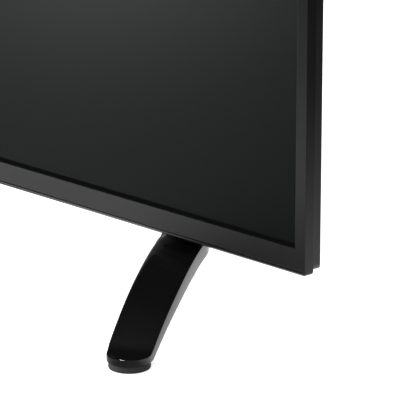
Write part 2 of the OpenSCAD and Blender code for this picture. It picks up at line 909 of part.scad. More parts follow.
// The bays beside the boards, larger by d on the inside
module bays(d) {
    deep_end = hump_depth + cut;
    for (bay = [[1, bay_high], [-1, mains_bay_high]])
        translate([bay[0] > 0 ? bay_x - d : -hump_half - cut, bay_floor - d, bay_low - d])
            cube([hump_half + cut - bay_x + d, deep_end - bay_floor + d, bay[1] - bay_low + 2 * d]);
}

// Holes in the bay walls that the sockets stand in
module socket_holes() {
    for (z = hdmi_spots) socket_hole(1, z, hdmi_w, hdmi_h);
    for (z = usb_spots) socket_hole(1, z, usb_w, usb_h);
    for (z = jack_spots) socket_hole(1, z, jack_w, jack_w);
    socket_hole(1, optical_spot, optical_w, optical_w);
    socket_hole(-1, inlet_spot, inlet_w, inlet_h);
    rod_x(y_board_back + tuner_h / 2, board_z + tuner_spot, barrel_r + socket_gap,
          bay_x - cover_wall - cut, bay_x + cut);
}

module socket_hole(side, z, w, h) {
    translate([side > 0 ? bay_x - cover_wall - cut : -bay_x - cut, y_board_back - socket_gap,
               board_z + z - w / 2 - socket_gap])
        cube([cover_wall + 2 * cut, h + 2 * socket_gap, w + 2 * socket_gap]);
}

module back_cover() {
    vent_in = 16;
    vent_rise = 24;
    vent_first = board_x + vent_in;
    vent_z = board_z + board_h + vent_rise;
    color("#232324") difference() {
        union() {
            difference() {
                cover_form(0);
                difference() {
                    cover_form(cover_wall);
                    bays(cover_wall);
                }
                bays(0);
            }
            for (spot = cover_spots) rod(spot, cover_boss_r, y_pan_back, cover_inner + cover_wall / 2);
            keypad_posts(post_r, y_keypad + keypad_t, cover_inner + cover_wall / 2);
            keypad_posts(screw_r, y_keypad, y_keypad + keypad_t + cut);
        }
        socket_holes();
        for (spot = cover_spots) rod(spot, screw_r + screw_gap, y_pan_back - cut, cover_depth + cut);
        for (spot = mount_spots) rod(spot, mount_post_r + mount_gap, cover_depth, hump_depth + cut);
        for (i = [0 : key_count - 1]) at_key(i)
            translate([-key_w / 2 - key_gap, cover_inner - cut, -key_h / 2 - key_gap])
                cube([key_w + 2 * key_gap, cover_wall + 2 * cut, key_h + 2 * key_gap]);
        for (side = [-1, 1], i = [0 : vent_count - 1])
            translate([side * (vent_first + i * vent_pitch) - vent_w / 2, hump_inner - cut, vent_z])
                cube([vent_w, cover_wall + 2 * cut, vent_h]);
        for (side = [-1, 1], i = [0 : grille_count - 1])
            translate([side * (speaker_x + speaker_w / 2) + (i - (grille_count - 1) / 2) * grille_pitch,
                       y_speaker, cover_low - cut])
                translate([-grille_w / 2, 0, 0]) cube([grille_w, grille_l, cover_wall + 2 * cut]);
        for (side = [-1, 1]) at_foot_screws(side)
            cylinder(r = foot_screw_r + foot_screw_gap, h = 2 * z_bot);
    }
}

module cover_screws() {
    color("#3c3f42") for (spot = cover_spots) {
        rod(spot, screw_head_r, cover_depth, cover_depth + screw_head_h);
        rod(spot, screw_r, y_floor, cover_depth + screw_head_h / 2);
    }
}

// Places its children at the two screws of a foot
module at_foot_screws(side) {
    for (x = [-1, 1]) translate([side * foot_root.x + x * foot_screw_x, foot_root.y, 0]) children();
}

module foot_brackets() {
    z = cover_low + cover_wall;
    color("#a7abaf") for (side = [-1, 1]) difference() {
        union() {
            translate([side * foot_root.x - bracket_w / 2, bracket_y, z])
                cube([bracket_w, bracket_d, bracket_t]);
            translate([side * foot_root.x - bracket_w / 2, y_pan_back, z])
                cube([bracket_w, bracket_t, bracket_up]);
        }
        at_foot_screws(side) cylinder(r = foot_screw_r + foot_screw_gap / 2, h = 2 * z_bot);
    }
}

// A curved bar seen from above: width w0 at turn a0, and w1 at turn a1, cut off at turns b0 and b1
module curved_bar(centre, r, a0, w0, a1, w1, b0, b1) {
    middle = (a0 + a1) / 2;
    shift = (w1 - w0) / (4 * sin((a1 - a0) / 2)) * [-sin(middle), cos(middle)];
    intersection() {
        difference() {
            translate(centre + shift) circle(r + (w0 + w1) / 4, $fn = 180);
            translate(centre - shift) circle(r - (w0 + w1) / 4, $fn = 180);
        }
        polygon([centre, centre + 2 * r * heading(b0), centre + 2 * r * heading(b1)]);
    }
}

// The space under an arc that sets out at height z0 down a slope and reaches height z1 after run
module under_arc(run, z0, z1, slope, grow) {
    r = arc_r(run, z0 - z1, slope);
    intersection() {
        translate([-r * sin(slope), z0 - r * cos(slope)]) circle(r, $fn = 180);
        translate([-foot_w / 2 - grow, -grow]) square([run + foot_w + 2 * grow, foot_h]);
    }
}

// Stands a side view up so that its first axis runs along turn
module side_view(turn) {
    translate([foot_root.x, foot_root.y, 0]) rotate([0, 0, turn]) rotate([90, 0, 0])
        linear_extrude(8 * foot_w, center = true) children();
}

// One leg with the round toe that takes the pad
module leg(centre, bend_r, start_turn, turn, tip, tip_w) {
    chord = norm(tip - foot_root);
    forward = turn < start_turn;
    leg_turn = start_turn + (forward ? -1 : 1) * leg_gap / bend_r * 180 / PI;
    side_turn = (start_turn + turn) / 2 + (forward ? -90 : 90);
    intersection() {
        translate([0, 0, pad_t + leg_rise]) linear_extrude(foot_h) {
            if (forward) curved_bar(centre, bend_r, turn, tip_w, start_turn, foot_w, turn, leg_turn);
            else curved_bar(centre, bend_r, start_turn, foot_w, turn, tip_w, leg_turn, turn);
        }
        side_view(side_turn) difference() {
            under_arc(chord, foot_top, toe_h + toe_step, leg_slope, 0);
            under_arc(chord, foot_under, toe_under, under_slope, cut);
        }
    }
    translate([tip.x, tip.y, pad_t]) cylinder(r = tip_w / 2 - tip_gap, h = toe_h - pad_t);
}

module foot() {
    difference() {
        union() {
            leg(front_centre, front_bend_r, root_turn, tip_turn, front_tip, front_tip_w);
            leg(rear_centre, rear_bend_r, rear_root_turn, rear_turn, rear_tip, rear_tip_w);
            translate([foot_root.x, foot_root.y, foot_under])
                cylinder(r = foot_w / 2 + hub_out, h = foot_h - hub_gap - foot_under);
            translate([foot_root.x - neck_w / 2, foot_root.y - neck_d / 2, foot_top])
                cube([neck_w, neck_d, cover_low - foot_top]);
        }
        at_foot_screws(1) cylinder(r = foot_screw_r + foot_screw_gap, h = 2 * foot_h);
        at_foot_screws(1)
            cylinder(r = foot_screw_head_r + foot_screw_gap, h = foot_under + foot_screw_seat);
    }
}

module foot_right() {
    color("#111112") foot();
}

module foot_left() {
    color("#111112") mirror([1, 0, 0]) foot();
}

module foot_pads() {
    color("#1b1b1b") for (side = [0, 1], tip = [front_tip, rear_tip])
        mirror([side, 0, 0]) translate([tip.x, tip.y, 0]) cylinder(r = pad_r, h = pad_t);
}

module foot_screws() {
    seat = foot_under + foot_screw_seat;
    color("#55585b") for (side = [-1, 1]) at_foot_screws(side) {
        translate([0, 0, seat - foot_screw_head_h]) cylinder(r = foot_screw_head_r, h = foot_screw_head_h);
        translate([0, 0, seat - cut])
            cylinder(r = foot_screw_r, h = cover_low + cover_wall + bracket_t - seat + cut);
    }
}

front_bezel();
bottom_trim();
lcd_panel();
panel_flexes();
source_boards();
mid_frame();
optical_sheets();
diffuser_plate();
reflector_sheet();
led_lenses();
led_bars();
backlight_pan();
main_board();
main_chips();
heat_sink();
tuner();
hdmi_sockets();
usb_sockets();
audio_jacks();
optical_socket();
power_board();
power_capacitors();
power_transformer();
mains_inlet();
power_wires();
ribbon_cable();
board_screws();
speaker_left();
speaker_right();
speaker_cones();
ir_board();
ir_lens();
keypad_board();
tact_switches();
wall_mount_posts();
foot_brackets();
back_cover();
cover_screws();
foot_left();
foot_right();
foot_pads();
foot_screws();
for (i = [0 : key_count - 1]) key(i);
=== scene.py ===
"""A flat screen television on two curved feet: looks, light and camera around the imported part."""
import json
import math

import bmesh
import bpy
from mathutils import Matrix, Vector


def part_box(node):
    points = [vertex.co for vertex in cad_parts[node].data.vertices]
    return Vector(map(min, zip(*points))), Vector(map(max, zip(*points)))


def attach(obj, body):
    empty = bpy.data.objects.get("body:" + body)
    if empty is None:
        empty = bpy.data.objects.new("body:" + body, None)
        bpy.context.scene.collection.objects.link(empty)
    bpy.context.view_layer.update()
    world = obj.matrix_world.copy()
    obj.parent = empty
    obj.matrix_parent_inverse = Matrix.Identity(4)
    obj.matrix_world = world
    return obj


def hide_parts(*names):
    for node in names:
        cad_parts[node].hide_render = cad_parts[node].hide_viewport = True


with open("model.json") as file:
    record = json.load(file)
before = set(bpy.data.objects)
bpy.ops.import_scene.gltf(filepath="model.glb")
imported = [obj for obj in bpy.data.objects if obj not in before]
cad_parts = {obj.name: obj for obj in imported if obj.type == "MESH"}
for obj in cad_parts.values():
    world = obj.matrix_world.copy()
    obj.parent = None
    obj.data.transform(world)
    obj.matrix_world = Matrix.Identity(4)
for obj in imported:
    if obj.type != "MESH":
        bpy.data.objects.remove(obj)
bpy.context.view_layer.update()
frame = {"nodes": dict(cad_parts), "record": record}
nodes = frame["nodes"]

MM = 0.001
UP = Vector((0, 0, 1))
BACKWARDS = Vector((0, 1, 0))
WHITE = (1, 1, 1, 1)

# The cabinet's outer sizes in millimetres
bezel_low, bezel_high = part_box("front_bezel")
CAB_HALF = round(bezel_high[0] / MM, 2)
CAB_LOW = round(bezel_low[2] / MM, 2)
CAB_HIGH = round(bezel_high[2] / MM, 2)


# Shader helpers

def add_node(tree, kind, **values):
    """Adds a shader node; values are its properties, or its inputs when the name is an input's."""
    node = tree.nodes.new(kind)
    for name, value in values.items():
        if hasattr(node, name):
            setattr(node, name, value)
        else:
            node.inputs[name.replace("_", " ")].default_value = value
    return node


def feed(tree, socket, source):
    """Links source to an input socket, or sets the socket where source is a plain value."""
    if isinstance(source, bpy.types.NodeSocket):
        tree.links.new(source, socket)
    else:
        socket.default_value = source


def calculate(tree, operation, *sources):
    """The result of a math node that takes sockets or plain values."""
    node = add_node(tree, "ShaderNodeMath", operation=operation)
    for socket, source in zip(node.inputs, sources):
        feed(tree, socket, source)
    return node.outputs["Value"]


def map_range(tree, source, start, end, to_start=0.0, to_end=1.0, easing="SMOOTHSTEP"):
    """The result of a node that maps the range from start to end onto the one from to_start to to_end."""
    node = add_node(tree, "ShaderNodeMapRange", interpolation_type=easing)
    given = {"Value": source, "From Min": start, "From Max": end, "To Min": to_start, "To Max": to_end}
    for label, value in given.items():
        feed(tree, node.inputs[label], value)
    return node.outputs["Result"]


def mix(tree, kind, share, first, second):
    """A blend of two colours, if kind is RGBA, or of two values, if it is FLOAT."""
    node = add_node(tree, "ShaderNodeMix", data_type=kind)
    for label, source in (("Factor", share), ("A", first), ("B", second)):
        feed(tree, node.inputs[label], source)
    return node.outputs["Result"]


def mix_shaders(tree, share, first, second):
    """The first shader where share is 0, and the second where it is 1."""
    node = add_node(tree, "ShaderNodeMixShader")
    for socket, source in zip(node.inputs, (share, first, second)):
        feed(tree, socket, source)
    return node.outputs["Shader"]


def coordinates(tree, kind):
    """The X, Y and Z of a texture coordinate of this kind."""
    where = add_node(tree, "ShaderNodeTexCoord")
    split = add_node(tree, "ShaderNodeSeparateXYZ")
    feed(tree, split.inputs["Vector"], where.outputs[kind])
    return split.outputs["X"], split.outputs["Y"], split.outputs["Z"]


def distance_to(tree, x, y, place):
    """How far (x, y) is from a place on the floor."""
    here = add_node(tree, "ShaderNodeCombineXYZ")
    feed(tree, here.inputs["X"], x)
    feed(tree, here.inputs["Y"], y)
    apart = add_node(tree, "ShaderNodeVectorMath", operation="DISTANCE")
    feed(tree, apart.inputs[0], here.outputs["Vector"])
    feed(tree, apart.inputs[1], (*place, 0))
    return apart.outputs["Value"]


def new_group(name, inputs, outputs):
    """An empty shader node group: inputs are (name, default) of values, outputs are (name, kind)."""
    tree = bpy.data.node_groups.new(name, "ShaderNodeTree")
    for label, default in inputs:
        socket = tree.interface.new_socket(name=label, in_out="INPUT", socket_type="NodeSocketFloat")
        socket.default_value = default
    for label, kind in outputs:
        tree.interface.new_socket(name=label, in_out="OUTPUT", socket_type=kind)
    return tree, tree.nodes.new("NodeGroupInput"), tree.nodes.new("NodeGroupOutput")


def moulded_group():
    """Fine moulded grain on edges that are slightly round."""
    tree, given, out = new_group(
        "moulded_surface",
        [("Edge Radius", 0.0006), ("Grain Scale", 900.0), ("Grain Depth", 0.1)],
        [("Normal", "NodeSocketVector")])
    where = add_node(tree, "ShaderNodeTexCoord")
    edge = add_node(tree, "ShaderNodeBevel", samples=6)
    grain = add_node(tree, "ShaderNodeTexNoise", Detail=3.0, Roughness=0.6)
    bump = add_node(tree, "ShaderNodeBump", Distance=0.0002)
    feed(tree, edge.inputs["Radius"], given.outputs["Edge Radius"])
    feed(tree, grain.inputs["Vector"], where.outputs["Object"])
    feed(tree, grain.inputs["Scale"], given.outputs["Grain Scale"])
    feed(tree, bump.inputs["Height"], grain.outputs["Fac"])
    feed(tree, bump.inputs["Strength"], given.outputs["Grain Depth"])
    feed(tree, bump.inputs["Normal"], edge.outputs["Normal"])
    feed(tree, out.inputs["Normal"], bump.outputs["Normal"])
    return tree


# The part of the noise's range that the drift uses
CLOUD_LOW = 0.3
CLOUD_HIGH = 0.7


def drift_group():
    """Slow cloudy variation between a low and a high value."""
    tree, given, out = new_group(
        "slow_drift",
        [("Scale", 8.0), ("Low", 0.0), ("High", 1.0)],
        [("Value", "NodeSocketFloat"), ("Cloud", "NodeSocketFloat")])
    where = add_node(tree, "ShaderNodeTexCoord")
    noise = add_node(tree, "ShaderNodeTexNoise", Detail=4.0, Roughness=0.55)
    cloud = noise.outputs["Fac"]
    feed(tree, noise.inputs["Vector"], where.outputs["Object"])
    feed(tree, noise.inputs["Scale"], given.outputs["Scale"])
    value = map_range(tree, cloud, CLOUD_LOW, CLOUD_HIGH,
                      given.outputs["Low"], given.outputs["High"], easing="LINEAR")
    feed(tree, out.inputs["Value"], value)
    feed(tree, out.inputs["Cloud"], cloud)
    return tree


moulded = moulded_group()
drift = drift_group()


def use_group(tree, group, **values):
    """Adds a node group; values are its inputs, with _ for a space."""
    node = tree.nodes.new("ShaderNodeGroup")
    node.node_tree = group
    for name, value in values.items():
        node.inputs[name.replace("_", " ")].default_value = value
    return node


def new_material(name):
    material = bpy.data.materials.new(name)
    material.use_nodes = True
    return material, material.node_tree


# Finishes

def surface(name, dark, light, rough, metallic=0.0, edge=0.5, grain=900.0, depth=0.08, cloud=9.0, ior=1.5):
    """A procedural finish: colour drifts from dark to light, roughness between the two values of rough.

    The edge is the rounding of edges in millimetres, grain and depth are the moulded texture's scale and
    strength, and cloud is the drift's scale.
    """
    material, tree = new_material(name)
    shader = tree.nodes["Principled BSDF"]
    skin = use_group(tree, moulded, Edge_Radius=edge * MM, Grain_Scale=grain, Grain_Depth=depth)
    slow = use_group(tree, drift, Scale=cloud, Low=rough[0], High=rough[1])
    tint = mix(tree, "RGBA", slow.outputs["Cloud"], (*dark, 1), (*light, 1))
    feed(tree, shader.inputs["Metallic"], metallic)
    feed(tree, shader.inputs["IOR"], ior)
    feed(tree, shader.inputs["Base Color"], tint)
    feed(tree, shader.inputs["Roughness"], slow.outputs["Value"])
    feed(tree, shader.inputs["Normal"], skin.outputs["Normal"])
    return material


BORDER = 4.9 * MM
BORDER_TINT = (0.0038, 0.0038, 0.0038, 1)
BORDER_ROUGH = 0.5
PICTURE_TINT = (0.0034, 0.0040, 0.0040, 1)
PICTURE_COAT = 0.25


def screen_surface(half_w, low, high):
    """The panel: a dark picture area with a hazy coat, inside a dull black border without one."""
    material, tree = new_material("screen_glass")
    shader = tree.nodes["Principled BSDF"]
    x, _, z = coordinates(tree, "Object")
    across = calculate(tree, "COMPARE", x, 0.0, half_w)
    upward = calculate(tree, "COMPARE", z, (low + high) / 2, (high - low) / 2)
    inside = calculate(tree, "MULTIPLY", across, upward)
    haze = use_group(tree, drift, Scale=5.0, Low=0.30, High=0.34)
    skin = use_group(tree, moulded, Edge_Radius=0.2 * MM, Grain_Scale=2600.0, Grain_Depth=0.03)
    rough = mix(tree, "FLOAT", inside, BORDER_ROUGH, haze.outputs["Value"])
    feed(tree, shader.inputs["Base Color"], mix(tree, "RGBA", inside, BORDER_TINT, PICTURE_TINT))
    feed(tree, shader.inputs["Roughness"], rough)
    feed(tree, shader.inputs["Specular IOR Level"], 0.0)
    feed(tree, shader.inputs["Coat Weight"], calculate(tree, "MULTIPLY", inside, PICTURE_COAT))
    feed(tree, shader.inputs["Coat IOR"], 1.45)
    feed(tree, shader.inputs["Coat Roughness"], 0.33)
    feed(tree, shader.inputs["Normal"], skin.outputs["Normal"])
    return material


# Each finish: dark colour, light colour, range of roughness, and what else differs from the usual
FINISHES = {
    "bezel_black": ((0.007, 0.007, 0.0071), (0.0095, 0.0095, 0.0096), (0.28, 0.33),
                    {"edge": 0.55, "grain": 1500, "depth": 0.05, "ior": 1.53}),
    "trim_grey": ((0.012, 0.012, 0.012), (0.016, 0.016, 0.0161), (0.05, 0.08),
                  {"edge": 0.25, "grain": 1500, "depth": 0.04, "ior": 1.7}),
    "cover_black": ((0.007, 0.007, 0.0071), (0.011, 0.011, 0.0111), (0.34, 0.41),
                    {"edge": 0.8, "grain": 1100, "depth": 0.22, "ior": 1.65}),
    "foot_black": ((0.0036, 0.0036, 0.0038), (0.0052, 0.0052, 0.0053), (0.1, 0.12),
                   {"edge": 0.05, "grain": 300, "depth": 0.01, "ior": 1.67}),
    "pad_rubber": ((0.05, 0.05, 0.05), (0.07, 0.07, 0.069), (0.7, 0.82), {"edge": 0.3, "depth": 0.3}),
    "steel": ((0.42, 0.43, 0.44), (0.6, 0.61, 0.62), (0.3, 0.46), {"metallic": 1.0, "cloud": 60}),
    "screw_steel": ((0.05, 0.05, 0.052), (0.1, 0.1, 0.102), (0.3, 0.42),
                    {"metallic": 1.0, "edge": 0.2, "cloud": 300}),
    "board_green": ((0.012, 0.09, 0.035), (0.025, 0.16, 0.06), (0.3, 0.4), {"cloud": 120}),
    "board_tan": ((0.26, 0.16, 0.07), (0.36, 0.24, 0.11), (0.45, 0.55), {"cloud": 120}),
    "chip_black": ((0.012, 0.012, 0.013), (0.024, 0.024, 0.026), (0.4, 0.55),
                   {"edge": 0.3, "cloud": 80, "depth": 0.15}),
    "heat_sink_alloy": ((0.5, 0.51, 0.52), (0.66, 0.67, 0.68), (0.3, 0.4),
                        {"metallic": 1.0, "edge": 0.2, "cloud": 80}),
    "socket_steel": ((0.5, 0.5, 0.5), (0.72, 0.72, 0.71), (0.2, 0.3),
                     {"metallic": 1.0, "edge": 0.15, "cloud": 150}),
    "light_white": ((0.78, 0.78, 0.76), (0.86, 0.86, 0.85), (0.4, 0.5), {"cloud": 30}),
    "flex_amber": ((0.36, 0.18, 0.03), (0.5, 0.28, 0.06), (0.3, 0.4), {"edge": 0.05, "cloud": 90}),
    "ribbon_white": ((0.6, 0.6, 0.57), (0.74, 0.73, 0.7), (0.4, 0.5), {"edge": 0.1, "cloud": 90}),
    "wire_red": ((0.3, 0.02, 0.015), (0.42, 0.04, 0.03), (0.35, 0.45), {"edge": 0.1, "cloud": 90}),
    "can_blue": ((0.012, 0.018, 0.06), (0.03, 0.04, 0.1), (0.2, 0.3), {"cloud": 90}),
    "cone_grey": ((0.02, 0.02, 0.02), (0.05, 0.05, 0.05), (0.75, 0.85), {"cloud": 150, "depth": 0.4}),
    "key_grey": ((0.03, 0.03, 0.031), (0.045, 0.045, 0.046), (0.25, 0.33), {"edge": 0.7, "cloud": 80}),
    "smoke_red": ((0.02, 0.002, 0.002), (0.04, 0.004, 0.005), (0.06, 0.1), {"edge": 0.4, "cloud": 60}),
}

finishes = {}
for name, (dark, light, rough, others) in FINISHES.items():
    finishes[name] = surface(name, dark, light, rough, **others)
panel_low, panel_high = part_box("lcd_panel")
finishes["screen_glass"] = screen_surface(
    panel_high[0] - BORDER, panel_low[2] + BORDER, panel_high[2] - BORDER)

slot_of = {piece["node"]: piece["material_slot"] for piece in frame["record"]["subparts"]}
for name, piece in nodes.items():
    piece.data.materials.clear()
    piece.data.materials.append(finishes[slot_of[name]])


# Mesh helpers

SAME_POINT = 1e-6
ROUND_STEPS = 64


def mesh_object(name, vertices, faces, material, smooth_angle=40):
    """A piece that looks smooth where its faces meet at less than smooth_angle degrees."""
    mesh = bpy.data.meshes.new(name)
    mesh.from_pydata([tuple(v) for v in vertices], [], faces)
    build = bmesh.new()
    build.from_mesh(mesh)
    bmesh.ops.remove_doubles(build, verts=build.verts, dist=SAME_POINT)
    bmesh.ops.recalc_face_normals(build, faces=build.faces)
    for face in build.faces:
        face.smooth = True
    for edge in build.edges:
        edge.smooth = edge.is_boundary or edge.calc_face_angle(0) < math.radians(smooth_angle)
    build.to_mesh(mesh)
    build.free()
    piece = bpy.data.objects.new(name, mesh)
    bpy.context.scene.collection.objects.link(piece)
    mesh.materials.append(material)
    return piece


def full_turns(steps):
    return [2 * math.pi * step / steps for step in range(steps)]


def quarter_turns(steps):
    return [math.radians(90 * step / steps) for step in range(steps + 1)]


def spoke(axis, turn):
    """The direction at right angles to an axis, turned about it."""
    side = axis.orthogonal().normalized()
    return side * math.cos(turn) + axis.cross(side) * math.sin(turn)


def skin_loops(loops, start):
    """Quads between neighbouring closed loops of equal length; start is the first vertex's number."""
    count = len(loops[0])
    faces = []
    for ring in range(len(loops) - 1):
        low = start + ring * count
        for i in range(count):
            j = (i + 1) % count
            faces.append((low + i, low + j, low + count + j, low + count + i))
    return faces


def add_tube(loops, vertices, faces):
    """Adds a tube through closed loops of equal length, shut at both ends."""
    start = len(vertices)
    count = len(loops[0])
    for loop in loops:
        vertices.extend(loop)
    last = len(vertices) - count
    faces.extend(skin_loops(loops, start))
    faces.append(tuple(range(start, start + count)))
    faces.append(tuple(range(last, last + count)))


def lathe(profile, centre, vertices, faces):
    """Turns a profile of (radius, height) about an upright axis, closing it at both ends."""
    loops = []
    for radius, height in profile:
        middle = Vector(centre) + UP * height
        loops.append([middle + radius * spoke(UP, turn) for turn in full_turns(ROUND_STEPS)])
    add_tube(loops, vertices, faces)


# The feet, in millimetres and degrees: a front and a rear leg bend away from a hub under the cabinet

ROOT_FROM_SIDE = 145.6
ROOT_BACK = 22.0
ROOT = Vector((CAB_HALF - ROOT_FROM_SIDE, ROOT_BACK))
FRONT_START_TURN = 33.0
FRONT_TIP_TURN = 27.85
FRONT_BEND_R = 1380.0
REAR_START_TURN = 40.0
REAR_BEND_R = 262.0
FOOT_W = 36.4
FRONT_TIP_W = 31.6
REAR_TIP_W = 30.0

# Heights, and the slopes with which the upper and lower faces leave the hub
FOOT_TOP = 57.2
FOOT_UNDER = 46.0
LEG_SLOPE = 4.5
UNDER_SLOPE = 6.0
TOE_TOP = 10.3
TOE_BLEND = 2.0
TOE_UNDER = 3.0

# The legs' sides, measured along the leg from the hub: how far they swell, up to (end, length of the change
# before it), and where they narrow towards the toe, from (start, length of the change after it)
RIGHT_SWELL = 0.45
RIGHT_SWELL_END = (26.0, 26.0)
RIGHT_NARROWS = (62.0, 58.0)
LEFT_SWELL = 3.1
LEFT_NARROWS = (119.0, 7.0)

# Roundings of the edges
RIGHT_EDGE_R = 0.4
LEFT_TOE_EDGE_R = 0.6
LEFT_HUB_EDGE_R = 10.0
LOWER_EDGE_R = 0.3
LOWER_TOE_EDGE_R = 1.0
LOWER_TOE_BLEND = 2.0

# The hub, and the neck that goes up into the cabinet
HUB_R = 15.5
HUB_RISE = 8.0
HUB_GAP = 0.3
HUB_TOP = CAB_LOW - HUB_GAP
NECK_TOP = 67.0
NECK_SUNK = 2.0
NECK_HALF_W = 11.0
NECK_HALF_D = 6.0
NECK_CORNER_R = 3.0
NECK_EASE = 0.4

# The toes, and the pads that they stand on
TOE_INSET = 0.15
TOE_SUNK = 2.5
TOE_EASE = 1.0
TOE_EASE_MIDDLE = 0.3
PAD_R = 14.7
PAD_T = 5.0
PAD_GAP = 0.05
PAD_UPPER_EASE = (0.3, 0.4)
PAD_LOWER_EASE = 1.2
PAD_LOWER_EASE_MIDDLE = 0.4
GROOVE_OUTER_R = 10.0
GROOVE_INNER_R = 8.4
GROOVE_SLANT = 0.3
GROOVE_DEPTH = 0.5

# How finely the feet are divided
TOE_STEPS = 16
LEG_STEPS = 56
LOWER_STEPS = 4
UPPER_STEPS = 9
LANES = 14
NECK_STEPS = 6


def facing(turn):
    """The direction at an angle in degrees, seen from above."""
    return Vector((math.cos(math.radians(turn)), math.sin(math.radians(turn))))


def falling_arc(run, high, low, reach, slope):
    """Height after run of an arc that sets out at high down a slope and comes to low at reach."""
    lean = math.radians(slope)
    drop = high - low
    radius = (reach * reach + drop * drop) / (2 * (drop * math.cos(lean) - reach * math.sin(lean)))
    ahead = run + radius * math.sin(lean)
    return high - radius * math.cos(lean) + math.sqrt(max(radius * radius - ahead * ahead, 0))


def soft_max(a, b, round_off):
    """The larger of two values, with a smooth change from one to the other."""
    return (a + b + math.hypot(a - b, round_off)) / 2


def smooth_step(value):
    share = min(max(value, 0.0), 1.0)
    return share * share * (3 - 2 * share)


def fading(off, end, length):
    """1 close by and 0 from end on; the change before end takes this length."""
    return smooth_step((end - off) / length)


def growing(off, start, length):
    """0 up to start and 1 further out; the change after start takes this length."""
    return smooth_step((off - start) / length)


class Leg:
    """One leg of a foot: pairs of outline points from the toe to the foot's middle, and its heights.

    left_out is the number of pairs left out at the hub, level how far the top runs on before it falls,
    narrowing what each side loses towards the toe, and swell and rounding say where the left side's swelling
    and full edge end, each as (end, length of the change before it).
    """

    def __init__(self, centre, radius, start_turn, tip_turn, tip_w,
                 left_out, level, narrowing, swell, rounding):
        forward = 1 if tip_turn < start_turn else -1
        middle = facing((tip_turn + start_turn) / 2)
        self.tip = centre + radius * facing(tip_turn)
        self.tip_r = tip_w / 2
        self.level = level
        self.rounding = rounding
        self.heading = Vector((middle.y, -middle.x)) * forward
        self.chord = (self.tip - ROOT).length
        self.pairs = []
        out = facing(tip_turn)
        ahead = Vector((out.y, -out.x)) * forward
        for turn in quarter_turns(TOE_STEPS)[1:-1]:
            base = self.tip + ahead * (math.cos(turn) * self.tip_r)
            side = out * (math.sin(turn) * self.tip_r)
            self.pairs.append((base + side, base - side))
        toe_w = tip_w + 2 * narrowing
        for step in range(LEG_STEPS + 1 - left_out):
            share = step / LEG_STEPS
            turn = tip_turn + (start_turn - tip_turn) * share
            half = (toe_w + (FOOT_W - toe_w) * share) / 2
            off = abs(math.radians(start_turn - turn)) * radius
            right = half + RIGHT_SWELL * fading(off, *RIGHT_SWELL_END)
            right -= narrowing * growing(off, *RIGHT_NARROWS)
            left = half + LEFT_SWELL * fading(off, *swell)
            left -= narrowing * growing(off, *LEFT_NARROWS)
            arm = facing(turn)
            self.pairs.append((centre + (radius + right) * arm, centre + (radius - left) * arm))

    def run(self, point):
        """How far along the leg a point is."""
        return (point - ROOT).dot(self.heading)

    def top(self, point):
        """The upper face: an arc that flattens into the toe and rises to the hub under the cabinet."""
        run = self.run(point)
        run -= self.level * (1 - run / self.chord)
        face = falling_arc(run, FOOT_TOP, TOE_TOP, self.chord, LEG_SLOPE)
        face = soft_max(face, TOE_TOP, TOE_BLEND)
        return face + (HUB_TOP - face) * fading((point - ROOT).length, HUB_R, HUB_RISE)

    def under(self, point):
        """The lower face: an arc that ends just above the pad."""
        face = falling_arc(self.run(point), FOOT_UNDER, TOE_UNDER, self.chord, UNDER_SLOPE)
        return max(face, PAD_T + PAD_GAP)

    def upper_radius(self, point, left):
        """Rounding of the upper edge: crisp on the right and at the toe, full on the left near the hub."""
        if not left:
            return RIGHT_EDGE_R
        near = fading((point - ROOT).length, *self.rounding)
        return LEFT_TOE_EDGE_R + (LEFT_HUB_EDGE_R - LEFT_TOE_EDGE_R) * near

    def lower_radius(self, point):
        """Rounding of the lower edge: slight, and a little more round the toe."""
        near = fading((point - self.tip).length, self.tip_r + LOWER_TOE_BLEND, LOWER_TOE_BLEND)
        return LOWER_EDGE_R + (LOWER_TOE_EDGE_R - LOWER_EDGE_R) * near


FRONT_CENTRE = ROOT - FRONT_BEND_R * facing(FRONT_START_TURN)
FRONT_LEG = Leg(FRONT_CENTRE, FRONT_BEND_R, FRONT_START_TURN, FRONT_TIP_TURN, FRONT_TIP_W,
                left_out=0, level=0.0, narrowing=0.8, swell=(105.0, 90.0), rounding=(105.0, 84.0))
FOOT_REACH = FRONT_TIP_W / 2 - FRONT_LEG.tip.y
REAR_CENTRE = ROOT - REAR_BEND_R * facing(REAR_START_TURN)
REAR_TIP_TURN = math.degrees(math.asin((FOOT_REACH - REAR_TIP_W / 2 - REAR_CENTRE.y) / REAR_BEND_R))
REAR_LEG = Leg(REAR_CENTRE, REAR_BEND_R, REAR_START_TURN, REAR_TIP_TURN, REAR_TIP_W,
               left_out=3, level=12.0, narrowing=0.0, swell=(46.0, 46.0), rounding=(46.0, 26.0))


def foot_stations():
    """Pairs of right and left outline points, each with its leg, from the front toe to the rear toe."""
    stations = [(pair, FRONT_LEG) for pair in FRONT_LEG.pairs]
    return stations + [(pair, REAR_LEG) for pair in reversed(REAR_LEG.pairs)]


def foot_outline(stations):
    """The foot's outline as (point, direction inwards, leg, whether it is the left side)."""
    points = [(pair[0], leg, False) for pair, leg in stations]
    points += [(pair[1], leg, True) for pair, leg in reversed(stations)]
    outline = []
    for i, (point, leg, left) in enumerate(points):
        run = points[(i + 1) % len(points)][0] - points[i - 1][0]
        outline.append((point, Vector((-run.y, run.x)).normalized(), leg, left))
    return outline


def lower_loop(outline, turn):
    """A loop on the lower edge's rounding, from the lower face at no turn to the wall at a quarter turn."""
    loop = []
    for point, inward, leg, _ in outline:
        radius = leg.lower_radius(point)
        spot = point + inward * (radius * (1 - math.sin(turn)))
        loop.append(Vector((spot.x, spot.y, leg.under(point) + radius * (1 - math.cos(turn)))))
    return loop


